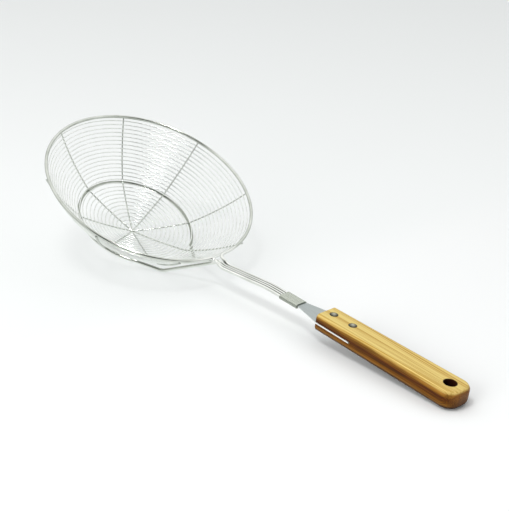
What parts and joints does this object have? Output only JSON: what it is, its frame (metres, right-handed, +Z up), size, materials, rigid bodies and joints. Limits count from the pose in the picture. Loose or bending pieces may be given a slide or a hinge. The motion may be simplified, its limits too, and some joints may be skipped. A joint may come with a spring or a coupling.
{
  "type": "spider skimmer",
  "caption": "Shallow wire skimmer: a coiled wire bowl on ribs, joined by a wire neck and flat metal tang to a riveted bamboo handle with a hanging hole.",
  "frame": {"origin": "middle of the skimmer's footprint, on the table it lies on, mouth up", "axes": "+X along the handle from the bowl to the hanging hole, +Z up from the table, +Y across"},
  "size_m": [0.4681, 0.203, 0.1071],
  "materials": {
    "rim_steel": "drawn stainless wire, bright",
    "rib_steel": "drawn stainless wire, bright",
    "mesh_steel": "fine drawn stainless wire, bright",
    "sheet_steel": "rolled stainless sheet, satin",
    "bamboo": "smooth bamboo, clear coat, fine lengthwise grain",
    "rivet_aluminium": "pressed rivet head, satin"
  },
  "bodies": {
    "root": {"rim_wire": "rim_steel", "base_ring_wire": "rim_steel", "floor_spiral": "mesh_steel", "wall_spiral": "mesh_steel", "rib_1": "rib_steel", "rib_2": "rib_steel", "rib_3": "rib_steel", "rib_4": "rib_steel", "rib_5": "rib_steel", "rib_6": "rib_steel", "rib_7": "rib_steel", "rib_8": "rib_steel", "sleeve": "sheet_steel", "tang": "sheet_steel", "handle": "bamboo", "rivet_front": "rivet_aluminium", "rivet_rear": "rivet_aluminium"}
  },
  "joints": []
}
